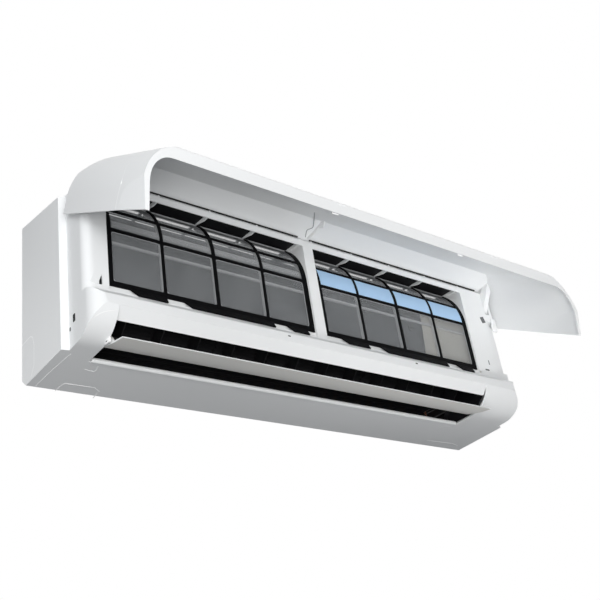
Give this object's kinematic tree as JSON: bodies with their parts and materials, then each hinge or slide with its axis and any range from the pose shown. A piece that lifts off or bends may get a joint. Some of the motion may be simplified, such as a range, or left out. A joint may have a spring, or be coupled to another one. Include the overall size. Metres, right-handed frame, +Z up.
{
  "type": "mini split indoor unit",
  "caption": "Wall-hung air conditioner indoor unit with a lift-up front panel, pull-out filters, air louver and fan.",
  "frame": {"origin": "on the wall, at the middle of the wall plate's back face, at mid width and mid height of the casing", "axes": "+X along the unit to the right of someone who faces it, +Y into the wall, +Z up"},
  "size_m": [1.05, 0.4169, 0.3292],
  "materials": {
    "casing": "satin white moulded casing",
    "panel": "glossy white moulding",
    "filter_frame": "black moulding",
    "filter_mesh": "fine woven grey mesh",
    "pad": "light blue pad",
    "fins": "close-set fins",
    "copper": "bare copper tube",
    "nuts": "turned brass",
    "steel_plate": "zinc-plated sheet",
    "steel": "bright steel",
    "chassis": "black moulding",
    "duct": "black moulding",
    "vanes": "black moulding",
    "louver": "pale grey moulding with a white edge",
    "fan": "black moulding",
    "rubber": "soft rubber",
    "bearing": "sintered bronze",
    "motor": "plated can",
    "box": "cream moulding",
    "box_cover": "beige sheet",
    "board": "green laminate",
    "parts": "black moulded parts",
    "sensor": "black bead"
  },
  "bodies": {
    "housing": {"body_cover": "casing", "screw_caps": "casing", "evaporator_lower": "fins", "evaporator_upper": "fins", "evaporator_rear": "fins", "evaporator_tubes": "copper", "return_bends": "copper", "suction_pipe": "copper", "liquid_pipe": "copper", "flare_nuts": "nuts", "mounting_plate": "steel_plate", "evaporator_end_plates": "steel_plate", "motor_clamp": "steel_plate", "cover_screws": "steel", "rear_chassis": "chassis", "drain_pan": "chassis", "outlet_duct": "duct", "louver_bush": "duct", "bearing_bush": "rubber", "drain_hose": "rubber", "fan_bearing": "bearing", "fan_motor": "motor", "louver_motor": "motor", "electrical_box": "box", "electrical_cover": "box_cover", "control_board": "board", "receiver_board": "board", "board_parts": "parts", "terminal_block": "parts", "air_thermistor": "sensor", "coil_thermistor": "sensor"},
    "panel": {"front_panel": "panel", "hinge_arm_left": "panel", "hinge_arm_right": "panel"},
    "fan": {"crossflow_fan": "fan", "fan_end_shaft": "steel", "motor_shaft": "steel"},
    "louver": {"louver": "louver"},
    "filter_left": {"filter_frame_left": "filter_frame", "filter_mesh_left": "filter_mesh"},
    "filter_right": {"filter_frame_right": "filter_frame", "filter_mesh_right": "filter_mesh", "deodorising_strip": "pad"},
    "link_left": {"link_rod_left": "vanes"},
    "link_right": {"link_rod_right": "vanes"},
    "vane_left_1": {"vane_left_1": "vanes"},
    "vane_left_2": {"vane_left_2": "vanes"},
    "vane_left_3": {"vane_left_3": "vanes"},
    "vane_left_4": {"vane_left_4": "vanes"},
    "vane_left_5": {"vane_left_5": "vanes"},
    "vane_left_6": {"vane_left_6": "vanes"},
    "vane_right_1": {"vane_right_1": "vanes"},
    "vane_right_2": {"vane_right_2": "vanes"},
    "vane_right_3": {"vane_right_3": "vanes"},
    "vane_right_4": {"vane_right_4": "vanes"},
    "vane_right_5": {"vane_right_5": "vanes"},
    "vane_right_6": {"vane_right_6": "vanes"}
  },
  "joints": [
    {"name": "panel_hinge", "type": "hinge", "parent": "housing", "child": "panel", "pos_m": [0, -0.198, 0.11], "axis": [-1, 0, 0], "range_deg": [-60, 6]},
    {"name": "louver_tilt", "type": "hinge", "parent": "housing", "child": "louver", "pos_m": [0, -0.186, -0.14], "axis": [1, 0, 0], "range_deg": [-25, 50]},
    {"name": "fan_spin", "type": "hinge", "parent": "housing", "child": "fan", "pos_m": [0, -0.108, -0.038], "axis": [1, 0, 0], "continuous": true},
    {"name": "filter_left_slide", "type": "slide", "parent": "housing", "child": "filter_left", "axis": [0, -0.9397, -0.342], "range_m": [0, 0.15]},
    {"name": "filter_right_slide", "type": "slide", "parent": "housing", "child": "filter_right", "axis": [0, -0.9397, -0.342], "range_m": [0, 0.15]},
    {"name": "vane_left_1_turn", "type": "hinge", "parent": "housing", "child": "vane_left_1", "pos_m": [-0.42858, -0.18041, -0.08518], "axis": [0, 0.7209, -0.6931], "range_deg": [-30, 30]},
    {"name": "vane_left_2_turn", "type": "hinge", "parent": "housing", "child": "vane_left_2", "pos_m": [-0.35675, -0.18041, -0.08518], "axis": [0, 0.7209, -0.6931], "range_deg": [-30, 30]},
    {"name": "vane_left_3_turn", "type": "hinge", "parent": "housing", "child": "vane_left_3", "pos_m": [-0.28492, -0.18041, -0.08518], "axis": [0, 0.7209, -0.6931], "range_deg": [-30, 30]},
    {"name": "vane_left_4_turn", "type": "hinge", "parent": "housing", "child": "vane_left_4", "pos_m": [-0.21308, -0.18041, -0.08518], "axis": [0, 0.7209, -0.6931], "range_deg": [-30, 30]},
    {"name": "vane_left_5_turn", "type": "hinge", "parent": "housing", "child": "vane_left_5", "pos_m": [-0.14125, -0.18041, -0.08518], "axis": [0, 0.7209, -0.6931], "range_deg": [-30, 30]},
    {"name": "vane_left_6_turn", "type": "hinge", "parent": "housing", "child": "vane_left_6", "pos_m": [-0.06942, -0.18041, -0.08518], "axis": [0, 0.7209, -0.6931], "range_deg": [-30, 30]},
    {"name": "link_left_slide", "type": "slide", "parent": "housing", "child": "link_left", "axis": [1, 0, 0], "range_m": [-0.0062, 0.0062]},
    {"name": "vane_right_1_turn", "type": "hinge", "parent": "housing", "child": "vane_right_1", "pos_m": [0.00242, -0.18041, -0.08518], "axis": [0, 0.7209, -0.6931], "range_deg": [-30, 30]},
    {"name": "vane_right_2_turn", "type": "hinge", "parent": "housing", "child": "vane_right_2", "pos_m": [0.07425, -0.18041, -0.08518], "axis": [0, 0.7209, -0.6931], "range_deg": [-30, 30]},
    {"name": "vane_right_3_turn", "type": "hinge", "parent": "housing", "child": "vane_right_3", "pos_m": [0.14608, -0.18041, -0.08518], "axis": [0, 0.7209, -0.6931], "range_deg": [-30, 30]},
    {"name": "vane_right_4_turn", "type": "hinge", "parent": "housing", "child": "vane_right_4", "pos_m": [0.21792, -0.18041, -0.08518], "axis": [0, 0.7209, -0.6931], "range_deg": [-30, 30]},
    {"name": "vane_right_5_turn", "type": "hinge", "parent": "housing", "child": "vane_right_5", "pos_m": [0.28975, -0.18041, -0.08518], "axis": [0, 0.7209, -0.6931], "range_deg": [-30, 30]},
    {"name": "vane_right_6_turn", "type": "hinge", "parent": "housing", "child": "vane_right_6", "pos_m": [0.36158, -0.18041, -0.08518], "axis": [0, 0.7209, -0.6931], "range_deg": [-30, 30]},
    {"name": "link_right_slide", "type": "slide", "parent": "housing", "child": "link_right", "axis": [1, 0, 0], "range_m": [-0.0062, 0.0062]}
  ],
  "couplings": [
    {"joint": "vane_left_1_turn", "follows": "link_left_slide", "rad_per_m": 83.333},
    {"joint": "vane_left_2_turn", "follows": "link_left_slide", "rad_per_m": 83.333},
    {"joint": "vane_left_3_turn", "follows": "link_left_slide", "rad_per_m": 83.333},
    {"joint": "vane_left_4_turn", "follows": "link_left_slide", "rad_per_m": 83.333},
    {"joint": "vane_left_5_turn", "follows": "link_left_slide", "rad_per_m": 83.333},
    {"joint": "vane_left_6_turn", "follows": "link_left_slide", "rad_per_m": 83.333},
    {"joint": "vane_right_1_turn", "follows": "link_right_slide", "rad_per_m": 83.333},
    {"joint": "vane_right_2_turn", "follows": "link_right_slide", "rad_per_m": 83.333},
    {"joint": "vane_right_3_turn", "follows": "link_right_slide", "rad_per_m": 83.333},
    {"joint": "vane_right_4_turn", "follows": "link_right_slide", "rad_per_m": 83.333},
    {"joint": "vane_right_5_turn", "follows": "link_right_slide", "rad_per_m": 83.333},
    {"joint": "vane_right_6_turn", "follows": "link_right_slide", "rad_per_m": 83.333}
  ]
}
